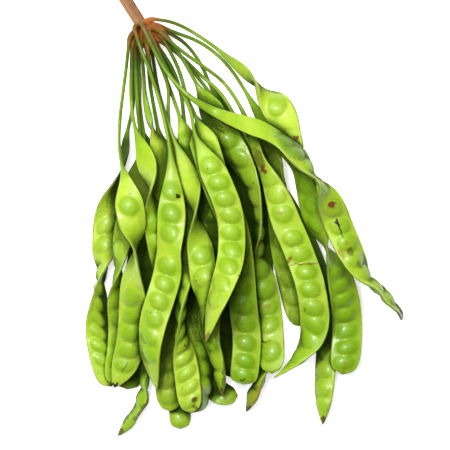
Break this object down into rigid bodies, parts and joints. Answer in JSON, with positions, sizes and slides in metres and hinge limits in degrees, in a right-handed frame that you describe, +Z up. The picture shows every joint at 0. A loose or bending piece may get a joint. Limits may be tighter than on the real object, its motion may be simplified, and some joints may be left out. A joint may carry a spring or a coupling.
{
  "type": "stink bean pod bunch",
  "caption": "Bunch of long, flat, twisted green stink bean (petai) pods with raised seed bumps, lying fanned out from the knobbly head of one cut stalk.",
  "frame": {"origin": "centre of the bunch's outline, on the surface that it lies on", "axes": "+Y runs from the pods' free ends to the cut end of the stalk, +Z is up from the surface"},
  "size_m": [0.4001, 0.579, 0.136],
  "materials": {
    "pod": "waxy satin green skin",
    "stalk": "dull tan and rust brown bark"
  },
  "bodies": {
    "root": {"fruiting_stalk": "stalk", "pod_01": "pod", "pod_02": "pod", "pod_03": "pod", "pod_04": "pod", "pod_05": "pod", "pod_06": "pod", "pod_07": "pod", "pod_08": "pod", "pod_09": "pod", "pod_10": "pod", "pod_11": "pod", "pod_12": "pod", "pod_13": "pod", "pod_14": "pod", "pod_15": "pod", "pod_16": "pod", "pod_17": "pod", "pod_18": "pod", "pod_19": "pod", "pod_20": "pod", "pod_21": "pod", "pod_22": "pod", "pod_23": "pod", "pod_24": "pod", "pod_25": "pod"}
  },
  "joints": []
}
